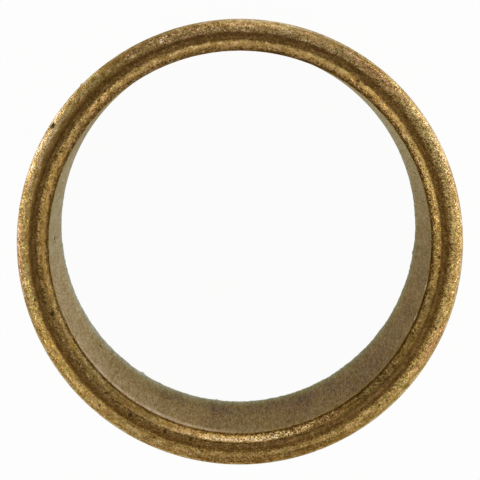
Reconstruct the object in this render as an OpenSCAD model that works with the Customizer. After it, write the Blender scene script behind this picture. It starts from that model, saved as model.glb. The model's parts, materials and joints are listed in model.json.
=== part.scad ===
// Plain bronze sleeve bushing: one press-and-sinter ring of oil-filled bronze.
// It is pressed into a housing by its outside and a shaft turns in its bore.
// It stands on one end: Z runs along the bore, and Z = 0 is the lower end face.

/* [Sleeve] */
// Diameter of the bore that the shaft runs in
bore_d = 38.15; // [16:0.05:80]
// Thickness of the wall, from the bore to the outside
wall = 3.2; // [2.8:0.05:8]
// Length over the two end faces
sleeve_length = 38.1; // [10:0.1:100]

/* [Edges] */
// Width of the outer edge's bevel, measured across the wall
outer_bevel_width = 1.15; // [0.3:0.05:1.5]
// Drop of the outer edge's bevel, measured along the outside
outer_bevel_drop = 1.05; // [0.3:0.05:2.5]
// Width of the inner edge's bevel, measured across the wall
inner_bevel_width = 1; // [0.3:0.05:1.3]
// Drop of the inner edge's bevel, measured along the bore
inner_bevel_drop = 0.9; // [0.3:0.05:2.5]
// Angle that each bevel turns through as it bulges from the end face to the wall
bevel_turn = 44; // [10:1:70]

/* [Hidden] */

bore_r = bore_d / 2;
outer_r = bore_r + wall;
cut_overrun = 0.5;
round_segments = 240;

// What is taken off one corner of the wall's section. The sharp corner lies at
// the origin, width runs along +X and drop along +Y, both into the metal. The
// face that stays is an arc from [width, 0] to [0, drop].
module bevel_waste(width, drop) {
    chord = norm([width, drop]);
    arc_r = chord / (2 * sin(bevel_turn / 2));
    into_metal = [drop, width] / chord;
    centre = [width, drop] / 2 + into_metal * arc_r * cos(bevel_turn / 2);
    difference() {
        translate([-cut_overrun, -cut_overrun])
            square([width + cut_overrun, drop + cut_overrun]);
        translate(centre)
            circle(r = arc_r, $fn = round_segments);
    }
}

// Both bevels at the wall's lower end
module end_waste() {
    translate([bore_r, 0])
        bevel_waste(inner_bevel_width, inner_bevel_drop);
    translate([outer_r, 0])
        mirror([1, 0])
            bevel_waste(outer_bevel_width, outer_bevel_drop);
}

// The wall cut along the bore's axis: radius along X, length along Y
module wall_section() {
    difference() {
        translate([bore_r, 0])
            square([wall, sleeve_length]);
        end_waste();
        translate([0, sleeve_length])
            mirror([0, 1])
                end_waste();
    }
}

module bushing_sleeve() {
    color([0.62, 0.5, 0.31])
        rotate_extrude($fn = round_segments)
            wall_section();
}

bushing_sleeve();
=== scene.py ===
import json
import math

import bpy
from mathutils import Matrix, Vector


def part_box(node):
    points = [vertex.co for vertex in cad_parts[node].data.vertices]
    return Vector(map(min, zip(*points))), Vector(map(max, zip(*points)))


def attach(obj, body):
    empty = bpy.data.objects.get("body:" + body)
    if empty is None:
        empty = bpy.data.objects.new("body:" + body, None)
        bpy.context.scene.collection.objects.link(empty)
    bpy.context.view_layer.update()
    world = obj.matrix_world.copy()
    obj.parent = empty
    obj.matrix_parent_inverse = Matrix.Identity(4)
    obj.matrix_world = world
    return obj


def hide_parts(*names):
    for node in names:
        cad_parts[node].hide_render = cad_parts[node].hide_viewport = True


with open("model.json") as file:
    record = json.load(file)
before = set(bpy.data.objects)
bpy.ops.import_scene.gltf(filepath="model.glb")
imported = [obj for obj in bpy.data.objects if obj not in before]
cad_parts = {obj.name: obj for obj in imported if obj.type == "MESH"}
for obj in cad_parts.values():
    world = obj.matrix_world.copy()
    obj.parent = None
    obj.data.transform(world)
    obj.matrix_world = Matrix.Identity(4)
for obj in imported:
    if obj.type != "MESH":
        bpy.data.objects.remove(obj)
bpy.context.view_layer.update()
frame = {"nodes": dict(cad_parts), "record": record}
mm = 0.001
weld = 0.001 * mm
mounts = {mount["name"]: mount for mount in frame["record"]["mounts"]}
cadLow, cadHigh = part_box("bushing_sleeve")
print("frame loaded:", ", ".join(sorted(frame["nodes"])))


def onlyThis(piece):
    bpy.ops.object.select_all(action="DESELECT")
    piece.select_set(True)
    bpy.context.view_layer.objects.active = piece


# ---- the sleeve's shape ----
sleeve = {
    "boreRadius": mounts["bore"]["dims"]["r_mm"] * mm,
    "outerRadius": mounts["outside"]["dims"]["r_mm"] * mm,
    "length": cadHigh.z - cadLow.z,
    "crownRadius": 20.68 * mm,             # where the end face stands highest
    # from the crown to either wall, in arcs that run on from each other: each has its
    # width across the wall, its slope where it ends in degrees, and its steps
    "towardsBore": [(0.52 * mm, 4, 3), (0.25 * mm, 26, 4)],
    "towardsOutside": [(0.21 * mm, 2.5, 2), (0.30 * mm, 18, 4), (0.36 * mm, 23, 3)],
    "boreDrop": 0.9 * mm,                  # where the last arc meets the wall, from the top
    "outsideDrop": 1.05 * mm,
    "bevelSteps": 10,
    "wallSteps": 10,                       # to the middle of the length
    "roundSteps": 850,
}


def onEndFace(side, shoulders, wallRadius, drop):
    # (radius, height) from the crown down to one wall; side is -1 towards the bore
    radius, height, slope = sleeve["crownRadius"], sleeve["length"], 0.0
    points = []

    def arc(width, endSlope, steps):
        nonlocal radius, height, slope
        bend = width / (math.sin(endSlope) - math.sin(slope))
        for i in range(1, steps + 1):
            here = slope + (endSlope - slope) * i / steps
            x = bend * (math.sin(here) - math.sin(slope))
            y = bend * (math.cos(slope) - math.cos(here))
            points.append(Vector((radius + side * x, height - y)))
        radius, height = points[-1]
        slope = endSlope

    for width, endSlope, steps in shoulders:
        arc(width, math.radians(endSlope), steps)
    width = side * (wallRadius - radius)
    fall = height - (sleeve["length"] - drop)
    arc(width, 2 * math.atan2(fall, width) - slope, sleeve["bevelSteps"])
    return points


def sleeveOutline():
    # once round the wall's section, up the bore first
    bore, outside, top = sleeve["boreRadius"], sleeve["outerRadius"], sleeve["length"]
    toBore = onEndFace(-1, sleeve["towardsBore"], bore, sleeve["boreDrop"])
    toOutside = onEndFace(1, sleeve["towardsOutside"], outside, sleeve["outsideDrop"])
    steps = sleeve["wallSteps"]
    upper = [Vector((bore, top / 2)).lerp(toBore[-1], i / steps) for i in range(steps)]
    upper += toBore[::-1] + [Vector((sleeve["crownRadius"], top))] + toOutside
    upper += [toOutside[-1].lerp(Vector((outside, top / 2)), i / steps) for i in range(1, steps + 1)]
    lower = [Vector((point.x, top - point.y)) for point in reversed(upper[:-1])]
    return upper + lower


def latheSleeve():
    outline = sleeveOutline()
    bpy.ops.object.select_all(action="DESELECT")
    bpy.ops.mesh.primitive_plane_add(size=mm, location=(outline[0].x, 0, outline[0].y))
    piece = bpy.context.object
    piece.name = piece.data.name = "bronze_sleeve"
    bpy.ops.object.transform_apply(location=True, rotation=True, scale=True)
    bpy.ops.object.mode_set(mode="EDIT")
    bpy.ops.mesh.select_all(action="SELECT")
    bpy.ops.mesh.merge(type="CENTER")
    for here, there in zip(outline, outline[1:]):
        step = (there.x - here.x, 0, there.y - here.y)
        bpy.ops.mesh.extrude_region_move(TRANSFORM_OT_translate={"value": step})
    bpy.ops.mesh.select_all(action="SELECT")
    bpy.ops.mesh.remove_doubles(threshold=weld)   # closes the outline
    bpy.ops.object.mode_set(mode="OBJECT")
    turn = piece.modifiers.new("turn", "SCREW")
    turn.axis = "Z"
    turn.angle = 2 * math.pi
    turn.screw_offset = 0
    turn.steps = turn.render_steps = sleeve["roundSteps"]
    turn.use_merge_vertices = True
    turn.merge_threshold = weld
    bpy.ops.object.modifier_apply(modifier="turn")
    bpy.ops.object.mode_set(mode="EDIT")
    bpy.ops.mesh.select_all(action="SELECT")
    bpy.ops.mesh.normals_make_consistent(inside=False)
    bpy.ops.object.mode_set(mode="OBJECT")
    bpy.ops.object.shade_smooth()
    return piece


# ---- wear in the shape ----
lowerEdge = {"group": "lower bore edge", "reach": 2.4 * mm, "margin": 0.3 * mm}

relief = {
    # name: (noise basis, size of the pattern, depth, where)
    "waves": ("BLENDER_ORIGINAL", 3.0 * mm, 0.006 * mm, ""),
    "lumps": ("BLENDER_ORIGINAL", 0.8 * mm, 0.007 * mm, ""),
    "grit": ("VORONOI_F1", 0.3 * mm, 0.006 * mm, ""),
    "burr": ("BLENDER_ORIGINAL", 0.45 * mm, 0.19 * mm, lowerEdge["group"]),
}


def markLowerEdge(piece):
    # the lower mouth of the bore is left ragged
    group = piece.vertex_groups.new(name=lowerEdge["group"])
    reach = lowerEdge["reach"]
    for vertex in piece.data.vertices:
        inBore = Vector(vertex.co[:2]).length < sleeve["boreRadius"] + lowerEdge["margin"]
        if inBore and vertex.co.z < reach:
            group.add([vertex.index], 1 - vertex.co.z / reach, "REPLACE")


def roughen(piece):
    onlyThis(piece)
    for name, (basis, size, depth, where) in relief.items():
        noise = bpy.data.textures.new(name, "CLOUDS")
        noise.noise_basis = basis
        noise.noise_scale = size
        noise.noise_depth = 1
        sink = piece.modifiers.new(name, "DISPLACE")
        sink.texture = noise
        sink.texture_coords = "LOCAL"
        sink.vertex_group = where
        sink.mid_level = 1          # the metal only goes inwards
        sink.strength = depth
        bpy.ops.object.modifier_apply(modifier=name)


knocks = {
    # name: (way round, radius, height) of the middle, how far the metal moves out, how wide;
    # degrees and mm
    "nick": ((148.1, 21.95, 37.5), -0.20, 0.40),
    "burr": ((135.3, 22.26, 36.9), 0.12, 0.22),
    "dent": ((302.0, 21.95, 37.4), -0.07, 0.60),
    "lowerBurr": ((237.3, 19.08, 0.9), -0.15, 0.35),
    "lowerBurrFront": ((263.0, 19.08, 0.9), -0.10, 0.30),
    "lowerBurrRight": ((351.0, 19.08, 0.9), -0.10, 0.30),
}


def roundAt(way, radius, height):
    way = math.radians(way)
    return Vector((radius * math.cos(way), radius * math.sin(way), height))


def knock(piece):
    for middle, push, width in knocks.values():
        middle = roundAt(*middle) * mm
        reach = [(vertex.co - middle).length_squared for vertex in piece.data.vertices]
        nearest = reach.index(min(reach))
        bpy.ops.object.mode_set(mode="EDIT")
        bpy.ops.mesh.select_all(action="DESELECT")
        bpy.ops.object.mode_set(mode="OBJECT")
        piece.data.vertices[nearest].select = True
        bpy.ops.object.mode_set(mode="EDIT")
        out = Vector((middle.x, middle.y, 0)).normalized() * push * mm
        bpy.ops.transform.translate(value=out, use_proportional_edit=True,
                                    proportional_edit_falloff="SMOOTH", proportional_size=width * mm)
        bpy.ops.object.mode_set(mode="OBJECT")


marks = {
    # the lighter column holds painted highlights and painted shade as well as real scratches, chips
    # and the nick's edge
    # name: (way round, spread), (radius, width), (lowest, highest), lighter, redder, coarser;
    # degrees and mm
    # the outer bevel and its rim: the darker rows are painted shade and the lighter rows painted
    # highlights; the copper and coarse rows are the metal's own tints and grain
    "shadeOuterBack": ((112, 24), (21.90, 0.75), (36, 39), -0.40, 0.0, 0.2),
    "highlightOuterBack": ((80, 14), (22.10, 0.60), (36, 39), 0.50, 0.0, 0.3),
    "shadeOuterFront": ((276, 44), (21.85, 0.90), (36, 39), -1.10, 0.2, 0.0),
    "highlightOuterRight": ((32, 17), (21.55, 0.45), (36, 39), 0.60, 0.0, 0.3),
    "highlightOuterLeft": ((150, 15), (21.60, 0.40), (36, 39), 0.50, 0.0, 0.3),
    "shadeOuterLeft": ((212, 28), (21.80, 0.45), (36, 39), -0.50, 0.0, 0.2),
    "highlightRimRight": ((31, 20), (22.05, 0.60), (36, 39), 0.60, 0.0, 0.2),
    "highlightRimLeft": ((153, 20), (21.95, 0.60), (36, 39), 0.70, 0.2, 0.8),
    "shadeRimRight": ((58, 18), (21.95, 0.30), (36, 39), -0.50, 0.0, 0.0),
    "shadeRimBack": ((122, 30), (22.14, 0.26), (36, 39), -0.45, 0.0, 0.0),
    "coarseLeft": ((165, 55), (21.60, 1.10), (36, 39), -0.10, 0.0, 1.0),
    "coarseFront": ((250, 62), (21.60, 1.00), (36, 39), 0.00, 0.1, 0.7),
    "shadeBevelFront": ((248, 22), (21.15, 0.16), (36, 39), -0.40, 0.0, 0.0),
    "shadeFoldFront": ((284, 28), (21.54, 0.24), (36, 39), -0.45, 0.0, 0.0),
    "highlightFoldFront": ((292, 56), (21.29, 0.09), (36, 39), 0.50, 0.2, -0.5),
    "copperBack": ((52, 14), (21.60, 0.60), (36, 39), 0.00, 0.6, 0.0),
    "copperLeft": ((183, 14), (22.10, 0.50), (36, 39), 0.00, 0.5, 0.0),
    "copperRight": ((331, 12), (21.70, 0.60), (36, 39), 0.00, 0.5, 0.0),
    # the land: its darker rows are painted shade and its lighter rows painted highlights
    "shadeLandBack": ((135, 42), (21.18, 0.26), (36, 39), -0.62, 0.0, 0.0),
    "highlightLandLeft": ((158, 50), (20.92, 0.16), (36, 39), 0.45, 0.0, 0.0),
    "highlightLandRight": ((315, 24), (20.92, 0.20), (36, 39), 0.50, 0.0, 0.0),
    "highlightLandSide": ((20, 44), (20.90, 0.16), (36, 39), 0.42, 0.0, 0.0),
    "highlightLandFront": ((275, 80), (20.60, 0.40), (36, 39), 0.24, 0.0, 0.0),
    "shadeLandLeft": ((188, 44), (20.40, 0.24), (36, 39), -0.45, 0.0, 0.0),
    "shadeCrownBack": ((145, 50), (20.66, 0.18), (36, 39), -0.65, 0.0, 0.0),
    "highlightCrownFront": ((300, 80), (20.36, 0.24), (36, 39), 0.62, 0.0, 0.0),
    "shadeLandFront": ((264, 52), (20.05, 0.12), (36, 39), -1.50, 0.0, 0.0),
    "shadeLandRight": ((326, 44), (20.04, 0.13), (36, 39), -0.70, 0.0, 0.0),
    # the inner bevel: painted highlights and painted shade
    "highlightInnerBack": ((85, 85), (19.98, 0.34), (36, 39), 0.60, 0.0, -0.3),
    "highlightInnerFront": ((269, 30), (19.72, 0.31), (36, 39), 1.40, 0.0, 1.8),
    "highlightInnerRight": ((328, 30), (19.74, 0.16), (36, 39), 0.50, 0.0, 0.0),
    "shadeInnerLeft": ((200, 64), (19.86, 0.32), (36, 39), -1.25, 0.0, 0.0),
    "shadeInnerRight": ((318, 48), (19.84, 0.36), (36, 39), -1.08, 0.0, 0.0),
    # the mouth of the bore: painted highlights and painted shade
    "highlightMouthFront": ((238, 70), (19.36, 0.15), (36, 39), 0.60, 0.0, 0.0),
    "highlightMouthLeft": ((208, 34), (19.40, 0.26), (36, 39), 1.00, 0.0, 0.3),
    "highlightMouthBack": ((125, 54), (19.22, 0.20), (37.0, 39), 1.60, 0.0, 0.0),
    "shadeMouthSide": ((30, 60), (19.24, 0.24), (37.2, 39), -1.10, 0.0, 0.0),
    "shadeMouthRight": ((345, 34), (19.16, 0.14), (37.0, 39), -1.90, 0.0, 0.0),
    "shadeMouthFront": ((290, 66), (19.22, 0.20), (37.2, 39), -1.00, 0.0, 0.0),
    "highlightLipFront": ((300, 66), (19.40, 0.15), (36, 39), 0.85, 0.0, 0.0),
    "highlightLipLeft": ((196, 20), (19.36, 0.42), (36, 39), 0.62, 0.0, 0.0),
    "shadeLipLeft": ((234, 20), (19.55, 0.36), (36, 39), -0.40, 0.0, 0.0),
    "highlightLipBack": ((118, 36), (19.15, 0.13), (36.6, 39), 0.70, 0.0, 0.0),
    "shadeLipBack": ((124, 30), (19.42, 0.22), (36, 39), -0.32, 0.0, 0.0),
    # the bore: painted shade, a painted highlight below its mouth, greener tints and chips
    "shadeBore": ((314, 105), (19.05, 0.14), (-1, 36.8), -1.20, 0.1, 0.0),
    "highlightBoreTop": ((246, 56), (19.05, 0.14), (34.6, 38.2), 1.00, 0.2, 0.0),
    "mossBoreRight": ((34, 34), (19.05, 0.14), (-1, 38), 0.00, -0.8, 0.0),
    "mossBoreLeft": ((170, 30), (19.05, 0.14), (-1, 38), 0.00, -0.8, 0.0),
    "chipRight": ((336.8, 2.0), (19.06, 0.12), (36.2, 38.4), 2.30, 0.0, 0.0),
    "chipBelow": ((346.6, 2.8), (19.06, 0.12), (36.2, 38.4), 2.10, 0.0, 0.0),
    # scratches
    "scratchBack": ((111.4, 1.1), (21.45, 0.42), (36, 39), 2.90, 0.3, 0.0),
    "scratchShort": ((119.9, 0.9), (21.35, 0.25), (36, 39), 2.70, 0.0, 0.0),
    "scratchLeft": ((130.2, 0.9), (21.80, 0.30), (36, 39), 2.70, 0.0, 0.0),
    "scratchBurr": ((135.6, 0.8), (21.50, 0.50), (36, 39), 1.30, 0.0, 0.0),
    "nickEdge": ((148.6, 1.4), (21.45, 0.22), (36, 39), 1.80, -0.5, 0.0),
}

borePatches = {
    # broad patches, the darker ones painted shade on the bore: (way round, spread), (height, reach),
    # lighter, redder, coarser
    "shadeLowerEnd": ((262, 64), (11, 12), -0.85, -0.35, 0.0),
    "shadeUpperEnd": ((258, 78), (26, 24), -0.20, 0.15, 0.0),
    "greenLowerEnd": ((300, 150), (3, 11), 0.00, -0.7, 0.0),
    "paleLowerEnd": ((300, 150), (1, 7), 0.45, 0.0, 0.0),
    "shadeRight": ((338, 28), (22, 20), -0.22, 0.0, 0.0),
    "shadeMiddle": ((296, 18), (15, 16), -0.42, 0.0, 0.0),
    "shadeLeft": ((222, 36), (16, 12), -0.22, 0.0, 0.0),
}


def falloff(distance, reach):
    share = max(0, 1 - abs(distance) / reach)
    return share * share * (3 - 2 * share)


def turnFrom(way, middle):
    return (way - middle + 180) % 360 - 180


def paintLightAndWear(piece):
    # kept on the mesh for the materials: lighter in x, redder in y, coarser in z; lighter holds
    # painted highlights and painted shade besides real scratches and chips
    wearAndPaintedLight = piece.data.attributes.new("wearAndPaintedLight", "FLOAT_VECTOR", "POINT")
    fade = 0.8           # mm over which a mark ends upwards and downwards
    boreReach = sleeve["boreRadius"] / mm + 0.1
    for vertex, spot in zip(piece.data.vertices, wearAndPaintedLight.data):
        radius = Vector(vertex.co[:2]).length / mm
        way = math.degrees(math.atan2(vertex.co.y, vertex.co.x))
        height = vertex.co.z / mm
        total = Vector((0, 0, 0))
        for (middle, spread), (ring, width), (low, high), *change in marks.values():
            if abs(radius - ring) < width and low < height < high:
                share = falloff(turnFrom(way, middle), spread) * falloff(radius - ring, width)
                total += Vector(change) * share * min(1, (height - low) / fade, (high - height) / fade)
        if radius < boreReach:
            for (middle, spread), (level, reach), *change in borePatches.values():
                share = falloff(turnFrom(way, middle), spread) * falloff(height - level, reach)
                total += Vector(change) * share
        spot.vector = total


# ---- materials ----
def addNode(tree, kind, **values):
    node = tree.nodes.new("ShaderNode" + kind)
    for name, value in values.items():
        setattr(node, name, value)
    return node


class Workbench:
    # wires one material's nodes together
    def __init__(self, name):
        self.material = bpy.data.materials.new(name)
        self.material.use_nodes = True
        self.tree = self.material.node_tree
        self.shader = self.tree.nodes["Principled BSDF"]

    def plug(self, value, socket):
        if isinstance(value, bpy.types.NodeSocket):
            self.tree.links.new(value, socket)
        else:
            socket.default_value = value

    def maths(self, operation, *values):
        node = addNode(self.tree, "Math", operation=operation)
        for socket, value in zip(node.inputs, values):
            self.plug(value, socket)
        return node.outputs[0]

    def vectors(self, operation, *values):
        node = addNode(self.tree, "VectorMath", operation=operation)
        sockets = [node.inputs[0], node.inputs["Scale"]] if operation == "SCALE" else node.inputs
        for socket, value in zip(sockets, values):
            self.plug(value, socket)
        oneNumber = operation in ("LENGTH", "DISTANCE", "DOT_PRODUCT")
        return node.outputs["Value" if oneNumber else "Vector"]

    def blend(self, share, first, second):
        node = addNode(self.tree, "Mix", data_type="RGBA")
        sockets = node.inputs[0], node.inputs[6], node.inputs[7]
        for socket, value in zip(sockets, (share, first, second)):
            self.plug(value, socket)
        return node.outputs[2]

    def ramp(self, value, low, high, start=0.0, end=1.0):
        node = addNode(self.tree, "MapRange", interpolation_type="SMOOTHSTEP")
        for socket, number in zip(node.inputs, (value, low, high, start, end)):
            self.plug(number, socket)
        return node.outputs[0]

    def place(self, stretch):
        # millimetres on the piece, drawn out along its length
        coords = addNode(self.tree, "TexCoord")
        node = addNode(self.tree, "Mapping")
        node.inputs["Scale"].default_value = (1 / mm, 1 / mm, 1 / mm / stretch)
        self.plug(coords.outputs["Object"], node.inputs["Vector"])
        return node.outputs[0]

    def noise(self, size, at, detail=2.0):
        node = addNode(self.tree, "TexNoise")
        node.inputs["Scale"].default_value = 1 / size
        node.inputs["Detail"].default_value = detail
        self.plug(at, node.inputs["Vector"])
        return node

    def cells(self, size, at):
        node = addNode(self.tree, "TexVoronoi")
        node.inputs["Scale"].default_value = 1 / size
        self.plug(at, node.inputs["Vector"])
        return node

    def split(self, value, kind="SeparateXYZ"):
        node = addNode(self.tree, kind)
        self.plug(value, node.inputs[0])
        return node.outputs


bronze = {
    "gold": (0.43, 0.262, 0.070, 1),
    "beige": (0.40, 0.255, 0.074, 1),
    # brown: the land's colour, darkened partly as painted shade
    "brown": (0.315, 0.168, 0.041, 1),
    "straw": (0.45, 0.330, 0.135, 1),
    "cream": (0.46, 0.345, 0.165, 1),
    "copper": (0.46, 0.238, 0.120, 1),
    "olive": (0.27, 0.205, 0.070, 1),
    "leaf": (0.355, 0.300, 0.066, 1),
    "moss": (0.38, 0.330, 0.150, 1),
    "pore": (0.04, 0.024, 0.008, 1),
    "greyGreen": (0.31, 0.36, 0.31, 1),    # the lower end of the bore
    "palest": (0.84, 0.66, 0.42),      # no grain is lighter
    "edgeTint": (0.84, 0.72, 0.50),    # the tint where the metal is seen edge-on
    # factors on the colours above
    # warmer and cooler paint a warm and a cool light on the end face
    "warmer": (1.01, 0.995, 0.91),     # the front of the end face against its sides
    "cooler": (1.00, 1.00, 1.16),      # and the back
    "oily": (1.02, 1.0, 0.55),         # one side of the bore
    "paler": (1.62, 1.82, 2.75),       # a bright grain against a middling one
}

finishes = {
    # stretch: how far the grains and streaks are drawn out along the length
    # lines: how plain the sizing marks are
    # grain: its size in mm; bend: how far it wanders; lean: how far it tips
    # speckle: how far the grains' shades differ; clumps: how far the painted highlights, painted shade
    # and real marks break up
    # pores: where they start, so less gives more of them
    # and the colour of a lighter place against the rest, whose tone comes from painted highlights and
    # painted shade as well as from mottling and real marks
    "pressedEnd": {
        "stretch": 1, "poreStretch": 1, "lines": 0.0,
        "grain": 0.10, "bend": (0.16, 0.16, 0.16), "lean": 0.42,
        "speckle": 0.90, "clumps": 2.6, "pores": 0.86,
        "rough": 0.36, "metal": 1.0, "toneTint": (1.70, 1.82, 2.25),
    },
    "sizedOutside": {
        "stretch": 2, "poreStretch": 1.5, "lines": 0.7,
        "grain": 0.11, "bend": (0.10, 0.10, 0.16), "lean": 0.17,
        "speckle": 0.34, "clumps": 0.5, "pores": 0.87,
        "rough": 0.38, "metal": 1.0, "toneTint": (1.62, 1.82, 2.75),
    },
    "sizedBore": {
        "stretch": 14, "poreStretch": 8, "lines": 0.0,
        "grain": 0.12, "bend": (0.03, 0.03, 0.16), "lean": 0.14,
        "speckle": 0.38, "clumps": 0.5, "pores": 0.87,
        "rough": 0.52, "metal": 0.75, "toneTint": (1.62, 1.82, 2.75),
    },
}

powder = {
    # the pressed powder, the same in every finish; sizes in mm
    "wobbleSize": 0.2,           # what bends the grains
    "shadePower": 0.65,          # few dark grains, many middling ones
    "middleShade": 0.60,
    "poreSize": 0.24,
    "poreRim": 0.08,
    "poreDark": 0.7,
    "poreRough": 0.25,           # how much rougher a pore is
    "crowdSize": 2.2,            # places with more pores
    "crowdShare": 0.30,
    # where pores crowd, painted highlights, painted shade and real marks are plainer too
    "crowdMarks": 1.2,             # where rubs and stains are plainer too
    "pitRagged": (0.13, 0.24),   # the size and the reach of a pit's uneven edge
    "pitCore": 0.35,             # of a pit's size: wholly dark inside this
    "pitEdge": 0.8,              # and gone outside this
    "clumpSize": 0.45,
    "lineSize": 0.16,
    "lineStretch": 60,
    "glossSpread": 0.14,
    "reliefDepth": 0.02,
}

pits = {
    # dark pits in each finish: (way round, radius, height), size, how dark; degrees and mm
    "pressedEnd": [
        ((147.9, 21.85, 37.5), 0.60, 0.95), ((48.6, 21.42, 37.85), 0.30, 0.8),
        ((9.7, 21.10, 38.0), 0.24, 0.8), ((53.9, 19.95, 38.0), 0.30, 0.75),
        ((134.8, 19.92, 38.0), 0.24, 0.7), ((153.0, 20.02, 38.0), 0.26, 0.8),
        ((200.8, 20.03, 38.05), 0.40, 0.85), ((197.0, 20.26, 38.08), 0.26, 0.8),
        ((190.5, 20.26, 38.08), 0.20, 0.7), ((195.6, 21.15, 38.0), 0.26, 0.8),
        ((237.5, 20.38, 38.1), 0.42, 0.9), ((248.3, 20.30, 38.08), 0.38, 0.9),
        ((255.9, 20.27, 38.08), 0.34, 0.9), ((245.6, 20.66, 38.1), 0.24, 0.6),
        ((253.2, 21.76, 37.6), 0.24, 0.7), ((259.6, 21.14, 38.0), 0.26, 0.7),
        ((260.2, 22.06, 37.4), 0.26, 0.7), ((310.4, 21.35, 37.9), 0.25, 0.8),
        ((312.9, 21.45, 37.85), 0.22, 0.7), ((336.4, 21.27, 37.95), 0.24, 0.8),
        ((338.2, 21.30, 37.95), 0.22, 0.8), ((355.8, 19.92, 38.0), 0.32, 0.8),
        ((358.1, 21.10, 38.0), 0.22, 0.7), ((73.2, 19.96, 38.0), 0.20, 0.6),
        ((229.3, 21.44, 37.85), 0.28, 0.8), ((239.8, 21.18, 37.95), 0.24, 0.8),
        ((246.3, 21.22, 37.95), 0.22, 0.7), ((263.5, 22.05, 37.4), 0.24, 0.7),
        ((339.5, 21.67, 37.7), 0.24, 0.7), ((351.6, 20.16, 38.05), 0.28, 0.8),
    ],
    "sizedOutside": [
        ((20, 22.26, 12), 0.30, 0.7), ((64, 22.26, 31), 0.22, 0.6), ((118, 22.26, 27), 0.25, 0.7),
        ((171, 22.26, 8), 0.24, 0.6), ((226, 22.26, 20), 0.34, 0.7), ((301, 22.26, 31), 0.28, 0.7),
    ],
    "sizedBore": [
        ((20.1, 19.07, 27.6), 0.26, 0.7), ((219.9, 19.07, 12.7), 0.26, 0.8),
        ((181.2, 19.07, 21.5), 0.34, 1.0), ((254.8, 19.07, 33), 0.22, 0.4),
        ((301.0, 19.07, 31.7), 0.24, 0.45), ((317.2, 19.07, 34.8), 0.22, 0.4),
    ],
}


def pitDepth(bench, name, ragged):
    depth = 0.0
    stretch = finishes[name]["poreStretch"]
    place = bench.vectors("ADD", bench.place(stretch), ragged)
    for (way, radius, height), size, dark in pits[name]:
        middle = roundAt(way, radius, height / stretch)
        away = bench.vectors("DISTANCE", place, middle)
        pit = bench.ramp(away, size * powder["pitEdge"], size * powder["pitCore"], 0.0, dark)
        depth = bench.maths("MAXIMUM", depth, pit)
    return depth


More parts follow.
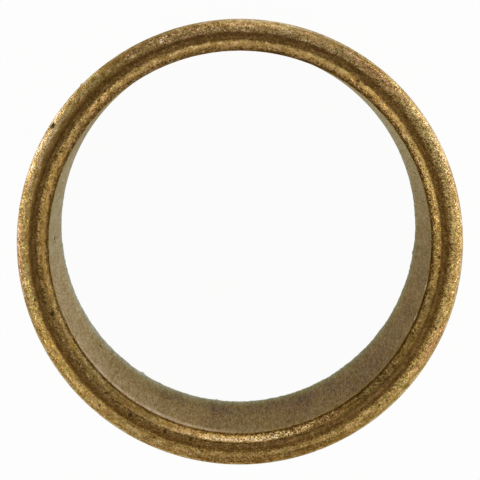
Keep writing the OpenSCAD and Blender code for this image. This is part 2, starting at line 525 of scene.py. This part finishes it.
def bronzeFinish(name, look, tint):
    bench = Workbench(name)
    place = bench.place(look["stretch"])
    wearAndPaintedLight = addNode(bench.tree, "Attribute", attribute_name="wearAndPaintedLight")
    light, copper, coarse = bench.split(wearAndPaintedLight.outputs["Vector"])

    # grains: bent cells, each with a shade, a tint and a lean of its own
    wobble = bench.noise(powder["wobbleSize"], place).outputs["Color"]
    bent = bench.vectors("MULTIPLY_ADD", wobble, look["bend"], place)
    grain = bench.cells(look["grain"], bent)
    shade, hue, gloss = bench.split(grain.outputs["Color"], "SeparateColor")[:3]

    # pores: uneven dark specks where a fine noise peaks, thicker in some places
    porePlace = bench.place(look["poreStretch"])
    speck = bench.noise(powder["poreSize"], porePlace, 3.0).outputs[0]
    crowd = bench.noise(powder["crowdSize"], place).outputs[0]
    pore = bench.maths("MULTIPLY_ADD", crowd, powder["crowdShare"], speck)
    pore = bench.ramp(pore, look["pores"], look["pores"] + powder["poreRim"], 0.0, powder["poreDark"])
    raggedSize, reach = powder["pitRagged"]
    ragged = bench.noise(raggedSize, porePlace).outputs["Color"]
    ragged = bench.vectors("MULTIPLY_ADD", ragged, (reach,) * 3, (-reach / 2,) * 3)
    pore = bench.maths("MAXIMUM", pore, pitDepth(bench, name, ragged))

    # a pale grain is greyer and a deep one browner, and places lightened by painted highlights and
    # darkened by painted shade a little
    colour, tone, calm = tint(bench, place, hue, copper)
    speckle = bench.maths("MULTIPLY_ADD", coarse, 2 * look["speckle"], 2 * look["speckle"])
    shade = bench.maths("POWER", shade, powder["shadePower"])
    speckle = bench.maths("MULTIPLY", speckle, bench.maths("SUBTRACT", shade, powder["middleShade"]))
    if look["lines"]:
        lines = bench.noise(powder["lineSize"], bench.place(powder["lineStretch"]), 4.0).outputs[0]
        swing = look["lines"] / 2
        tone = bench.maths("ADD", tone, bench.ramp(lines, 0.3, 0.7, -swing, swing))
    clump = bench.maths("SUBTRACT", bench.noise(powder["clumpSize"], place).outputs[0], 0.5)
    patchy = bench.maths("MULTIPLY_ADD", clump, look["clumps"], 1 - powder["crowdMarks"] / 2)
    patchy = bench.maths("MULTIPLY_ADD", crowd, powder["crowdMarks"], patchy)
    tone = bench.maths("MULTIPLY_ADD", light, patchy, bench.maths("MULTIPLY", tone, calm))
    toneTint = bench.vectors("POWER", look["toneTint"], tone)
    paler = bench.vectors("POWER", bronze["paler"], bench.maths("MULTIPLY", speckle, calm))
    shading = bench.vectors("MULTIPLY", toneTint, paler)
    colour = bench.vectors("MULTIPLY", colour, shading)
    colour = bench.vectors("MINIMUM", colour, bronze["palest"])
    colour = bench.blend(pore, colour, bronze["pore"])
    bench.plug(colour, bench.shader.inputs["Base Color"])
    bench.shader.inputs["Metallic"].default_value = look["metal"]
    edge = bench.vectors("MULTIPLY", bronze["edgeTint"], shading)
    bench.plug(bench.vectors("MINIMUM", edge, (1, 1, 1)), bench.shader.inputs["Specular Tint"])
    spread = powder["glossSpread"]
    rough = bench.maths("MULTIPLY_ADD", gloss, spread, look["rough"] - spread / 2)
    rough = bench.maths("MULTIPLY_ADD", pore, powder["poreRough"], rough)
    bench.plug(rough, bench.shader.inputs["Roughness"])

    # relief: the grains lean and the pores are sunk
    lean = bench.vectors("SUBTRACT", grain.outputs["Color"], (0.5,) * 3)
    lean = bench.vectors("SCALE", lean, bench.maths("MULTIPLY", look["lean"], calm))
    height = bench.maths("MULTIPLY_ADD", speck, 0.5, bench.maths("MULTIPLY", pore, -1.0))
    bump = addNode(bench.tree, "Bump")
    bump.inputs["Strength"].default_value = 1
    bump.inputs["Distance"].default_value = powder["reliefDepth"] * mm
    bench.plug(height, bump.inputs["Height"])
    normal = bench.vectors("NORMALIZE", bench.vectors("ADD", bump.outputs[0], lean))
    bench.plug(normal, bench.shader.inputs["Normal"])
    return bench.material


endFace = {
    # radii and sizes in mm
    "punchOffset": (0.10, -0.03, 0),     # the punch sat a little off the axis
    "landStarts": (20.05, 20.30),
    "landEnds": (20.88, 21.16),
    "landWander": 0.12,
    "landCalm": 0.38,                    # how much less the land is speckled
    "frontShift": 0.11,                  # how much further in its light edge lies in front
    "shiftStarts": (-2.0, -14.0),
    "rimStarts": (21.98, 22.12),
    "streakSize": 0.38,
    "streakRadius": 20.7,
    "streakStretch": 2.5,
    "streakTone": 0.6,
    "driftSize": 5.0,
    "mottleSize": 0.9,
    "mottleTone": 0.2,
    "greener": (20.4, 21.2, 0.3, 0.65),  # the share of green grains rises outwards
    # painted warm and cool light: warmer in front and on the right, cooler at the back and on the rim
    "pastLand": (20.3, 20.7),
    "warmFront": (-2.0, -12.0),
    "warmRight": (14.0, 19.0),
    "coolBack": (17.0, 20.5),
    "coolRimWay": (0.97, 0.24, 0),
    "coolRimSide": (18.0, 21.0),
    "coolRim": (21.7, 22.0),
}

endBands = {
    # rings painted lighter and darker round the axis: painted highlights and painted shade that follow
    # the end's profile
    # name: (radius counted from, where the change starts and ends, how much lighter past it)
    "landEdge": ("frontPunch", 20.20, 20.35, 1.00),
    "crown": ("punch", 20.50, 20.68, -0.90),
    "landOutside": ("punch", 20.72, 20.92, 0.40),
    "fold": ("punch", 21.00, 21.15, -0.50),
    "underRim": ("axis", 21.75, 21.90, -0.30),
    "rim": ("axis", 22.00, 22.14, 0.35),
    "innerFoot": ("axis", 19.50, 19.30, -0.20),
    "mouth": ("axis", 19.32, 19.22, -0.40),
}


def endStreaks(bench, place, radius):
    # on the end face unrolled, so that the streaks run round it
    x, y, z = bench.split(place)
    turn = endFace["streakRadius"] / endFace["streakStretch"]
    unrolled = addNode(bench.tree, "CombineXYZ")
    arc = bench.maths("MULTIPLY", bench.maths("ARCTAN2", y, x), turn)
    for socket, value in zip(unrolled.inputs, (radius, arc, z)):
        bench.plug(value, socket)
    return bench.noise(endFace["streakSize"], unrolled.outputs[0], 3.0).outputs[0]


def endTint(bench, place, hue, copper):
    # golden inner bevel, brown land darkened partly as painted shade, beige outer bevel that ends in a
    # rim painted pale, partly as a painted highlight
    x, y = bench.split(place)[:2]
    radius = bench.vectors("LENGTH", bench.vectors("MULTIPLY", place, (1, 1, 0)))
    punched = bench.vectors("MULTIPLY_ADD", place, (1, 1, 0), endFace["punchOffset"])
    punched = bench.vectors("LENGTH", punched)
    drift = bench.noise(endFace["driftSize"], place, 3.0).outputs[0]
    mottle = bench.noise(endFace["mottleSize"], place, 3.0).outputs[0]
    wander = bench.maths("SUBTRACT", mottle, 0.5)
    wander = bench.maths("MULTIPLY_ADD", wander, endFace["landWander"], punched)
    onOuter = bench.ramp(wander, *endFace["landEnds"])
    onLand = bench.maths("SUBTRACT", bench.ramp(wander, *endFace["landStarts"]), onOuter)

    # each part's metal, the land's brown partly painted shade and the rim's cream partly painted
    # highlight, then the redder and greener grains
    colour = bench.blend(onOuter, bronze["gold"], bronze["beige"])
    colour = bench.blend(bench.ramp(radius, *endFace["rimStarts"], 0.0, 0.85), colour, bronze["cream"])
    colour = bench.blend(bench.ramp(drift, 0.46, 0.66, 0.0, 0.5), colour, bronze["olive"])
    redness = bench.maths("MULTIPLY_ADD", copper, 0.8, bench.ramp(hue, 0.60, 0.95, 0.0, 0.75))
    colour = bench.blend(redness, colour, bronze["copper"])
    greenness = bench.ramp(radius, *endFace["greener"])
    greenness = bench.maths("MULTIPLY", bench.ramp(hue, 0.40, 0.05), greenness)
    greenness = bench.maths("SUBTRACT", greenness, copper)
    colour = bench.blend(greenness, colour, bronze["leaf"])
    colour = bench.blend(onLand, colour, bronze["brown"])

    # painted warm and cool light: warmer in front and on the right of the land, cooler at the back and
    # on the rim's right
    pastLand = bench.ramp(radius, *endFace["pastLand"])
    front = bench.maths("MULTIPLY", bench.ramp(y, *endFace["warmFront"]), pastLand)
    right = bench.maths("MULTIPLY", bench.ramp(x, *endFace["warmRight"]), onLand)
    front = bench.maths("MAXIMUM", front, right)
    back = bench.maths("MULTIPLY", bench.ramp(y, *endFace["coolBack"]), pastLand)
    rimRight = bench.vectors("DOT_PRODUCT", place, endFace["coolRimWay"])
    rimRight = bench.ramp(rimRight, *endFace["coolRimSide"])
    rimRight = bench.maths("MULTIPLY", rimRight, bench.ramp(radius, *endFace["coolRim"]))
    back = bench.maths("MAXIMUM", back, rimRight)
    colour = bench.blend(front, colour, bench.vectors("MULTIPLY", colour, bronze["warmer"]))
    colour = bench.blend(back, colour, bench.vectors("MULTIPLY", colour, bronze["cooler"]))

    streaks = endStreaks(bench, place, radius)
    mottleTone, streakTone = endFace["mottleTone"], endFace["streakTone"]
    tone = bench.maths("ADD", bench.ramp(mottle, 0.25, 0.75, -mottleTone, mottleTone),
                       bench.ramp(streaks, 0.25, 0.75, -streakTone, streakTone))
    inFront = bench.ramp(y, *endFace["shiftStarts"])
    frontPunch = bench.maths("MULTIPLY_ADD", inFront, endFace["frontShift"], punched)
    radii = {"axis": radius, "punch": punched, "frontPunch": frontPunch}
    for centre, start, end, change in endBands.values():
        tone = bench.maths("ADD", tone, bench.ramp(radii[centre], start, end, 0.0, change))
    return colour, tone, bench.maths("MULTIPLY_ADD", onLand, -endFace["landCalm"], 1.0)


walls = {
    # sizes and heights in mm
    "driftSize": 6.0,
    "mottleSize": 0.9,
    "mottleTone": 0.14,
    "oilyWay": (0.64, -0.77, 0),     # the side where the oil in the bore is yellower
    "oilyStarts": (12, 18),          # that way from the axis
    "oilyBelow": (37, 31),
    "greyGreenBelow": (10, 3),
    "greyGreenShare": 0.8,
}


def wallTint(bench, place, hue, copper, pale, deep):
    drift = bench.noise(walls["driftSize"], place, 3.0).outputs[0]
    mottle = bench.noise(walls["mottleSize"], place, 3.0).outputs[0]
    colour = bench.blend(bench.ramp(drift, 0.42, 0.68, 0.0, 0.6), bronze[pale], bronze[deep])
    redness = bench.maths("MULTIPLY_ADD", copper, 0.8, bench.ramp(hue, 0.55, 0.95, 0.0, 0.3))
    colour = bench.blend(redness, colour, bronze["copper"])
    greenness = bench.maths("MULTIPLY", copper, -1.0)
    colour = bench.blend(greenness, colour, bronze["moss"])
    mottleTone = walls["mottleTone"]
    return colour, bench.ramp(mottle, 0.25, 0.75, -mottleTone, mottleTone), 1.0


def outsideTint(bench, place, hue, copper):
    return wallTint(bench, place, hue, copper, "cream", "straw")


def boreTint(bench, place, hue, copper):
    # yellower with oil on one side, greyer at the lower end
    colour, tone, calm = wallTint(bench, place, hue, copper, "straw", "olive")
    height = bench.maths("MULTIPLY", bench.split(place)[2], finishes["sizedBore"]["stretch"])
    oily = bench.ramp(bench.vectors("DOT_PRODUCT", place, walls["oilyWay"]), *walls["oilyStarts"])
    oily = bench.maths("MULTIPLY", oily, bench.ramp(height, *walls["oilyBelow"]))
    colour = bench.blend(oily, colour, bench.vectors("MULTIPLY", colour, bronze["oily"]))
    greyGreen = bench.ramp(height, *walls["greyGreenBelow"], 0.0, walls["greyGreenShare"])
    return bench.blend(greyGreen, colour, bronze["greyGreen"]), tone, calm


tints = {"pressedEnd": endTint, "sizedOutside": outsideTint, "sizedBore": boreTint}


def dressSleeve(piece):
    for name, look in finishes.items():
        piece.data.materials.append(bronzeFinish(name, look, tints[name]))
    slots = {name: slot for slot, name in enumerate(finishes)}
    margin = 0.12 * mm
    steepest = 0.3           # a wall's faces look up or down no more than this
    for face in piece.data.polygons:
        radius = Vector(face.center[:2]).length
        upright = abs(face.normal.z) < steepest
        if upright and radius > sleeve["outerRadius"] - margin:
            face.material_index = slots["sizedOutside"]
        elif upright and radius < sleeve["boreRadius"] + margin:
            face.material_index = slots["sizedBore"]


piece = latheSleeve()
print("sleeve turned:", len(piece.data.polygons), "faces")
dressSleeve(piece)
markLowerEdge(piece)
roughen(piece)
knock(piece)
paintLightAndWear(piece)
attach(piece, "root")
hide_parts("bushing_sleeve")
print("sleeve dressed")

# ---- floor ----
stage = {
    "floorSize": 3.0,
    "floorColour": (0.9, 0.9, 0.9, 1),
    "floorRough": 0.8,
    "whiteShare": 0.96,
    "skyLevel": 0.72,
    "openingColour": (0.03, 0.02, 0.012, 1),
    "openings": {
        # name: direction, degrees off it where the opening ends and where the tent starts
        "ceiling": (Vector((-0.056, 0.067, 1)), 23, 31),
        "doorway": (Vector((-0.60, 0.80, 0.1)), 14, 34),
    },
}


def floorMaterial():
    bench = Workbench("pale floor")
    bench.shader.inputs["Base Color"].default_value = stage["floorColour"]
    bench.shader.inputs["Roughness"].default_value = stage["floorRough"]
    bench.shader.inputs["Specular IOR Level"].default_value = 0
    rays = addNode(bench.tree, "LightPath").outputs
    seen = bench.maths("MAXIMUM", rays["Is Camera Ray"], rays["Is Glossy Ray"])
    seen = bench.maths("MAXIMUM", seen, rays["Is Transmission Ray"])
    glow = addNode(bench.tree, "Emission")
    mix = addNode(bench.tree, "MixShader")
    bench.plug(bench.maths("MULTIPLY", seen, stage["whiteShare"]), mix.inputs[0])
    bench.plug(bench.shader.outputs[0], mix.inputs[1])
    bench.plug(glow.outputs[0], mix.inputs[2])
    bench.plug(mix.outputs[0], bench.tree.nodes["Material Output"].inputs["Surface"])
    return bench.material


bpy.ops.object.select_all(action="DESELECT")
bpy.ops.mesh.primitive_plane_add(size=stage["floorSize"], location=(0, 0, 0))
floor = bpy.context.object
floor.name = "floor"
floor.data.materials.append(floorMaterial())
print("floor laid")


def studioWorld():
    # an even pale tent with a dark opening overhead and one at the side
    world = bpy.data.worlds.new("tent")
    bpy.context.scene.world = world
    world.use_nodes = True
    tree = world.node_tree
    coords = addNode(tree, "TexCoord")
    tent = None
    for direction, dark, light in stage["openings"].values():
        along = addNode(tree, "VectorMath", operation="DOT_PRODUCT")
        along.inputs[1].default_value = direction.normalized()
        opening = addNode(tree, "MapRange", interpolation_type="SMOOTHSTEP")
        opening.inputs["From Min"].default_value = math.cos(math.radians(light))
        opening.inputs["From Max"].default_value = math.cos(math.radians(dark))
        mix = addNode(tree, "Mix", data_type="RGBA")
        mix.inputs[7].default_value = stage["openingColour"]
        tree.links.new(coords.outputs["Generated"], along.inputs[0])
        tree.links.new(along.outputs["Value"], opening.inputs["Value"])
        tree.links.new(opening.outputs[0], mix.inputs[0])
        if tent:
            tree.links.new(tent, mix.inputs[6])
        else:
            mix.inputs[6].default_value = (stage["skyLevel"],) * 3 + (1,)
        tent = mix.outputs[2]
    tree.links.new(tent, tree.nodes["Background"].inputs["Color"])


studioWorld()

# ---- lamps ----
lamps = {
    # name: (way round, height above the horizon, distance, width, height, brightness)
    "leftFront": (210, 29, 0.50, 0.24, 0.15, 2.5),
    "back": (88, 12, 0.50, 0.20, 0.16, 1.8),
    "rightFront": (335, 29, 0.50, 0.40, 0.15, 0.9),
    "rightLow": (15, -8, 0.15, 0.18, 0.03, 3.6),
    "leftLow": (160, -8, 0.15, 0.14, 0.03, 3.4),
}


def addLamps():
    target = Vector((0, 0, sleeve["length"]))
    power = 4            # for its area at brightness 1, so a larger lamp isn't dimmer
    for name, (way, rise, far, width, height, brightness) in lamps.items():
        light = bpy.data.lights.new(name, "AREA")
        light.shape = "RECTANGLE"
        light.size, light.size_y = width, height
        light.energy = power * width * height * brightness
        lamp = bpy.data.objects.new(name, light)
        bpy.context.scene.collection.objects.link(lamp)
        lamp.visible_camera = False
        way, rise = math.radians(way), math.radians(rise)
        out = Vector((math.cos(way) * math.cos(rise), math.sin(way) * math.cos(rise), math.sin(rise)))
        lamp.location = target + out * far
        lamp.rotation_euler = (math.pi / 2 - rise, 0, way + math.pi / 2)


addLamps()
print("tent and", len(lamps), "lamps set up")

# ---- camera ----
camera = {
    "lens": 316.5,               # mm, like the sensor's width
    "sensor": 36,
    "place": Vector((-2.02, 21.66, 457.5)) * mm,
    "aim": Vector((0.004, 0.223, 37.05)) * mm,
}


def addCamera():
    lens = bpy.data.cameras.new("camera")
    lens.lens = camera["lens"]
    lens.sensor_width = camera["sensor"]
    eye = bpy.data.objects.new("camera", lens)
    bpy.context.scene.collection.objects.link(eye)
    eye.location = camera["place"]
    eye.rotation_mode = "QUATERNION"
    eye.rotation_quaternion = Vector((0, 0, -1)).rotation_difference(camera["aim"] - camera["place"])
    bpy.context.scene.camera = eye


addCamera()
print("camera placed")

bpy.context.scene.view_settings.view_transform = "Standard"
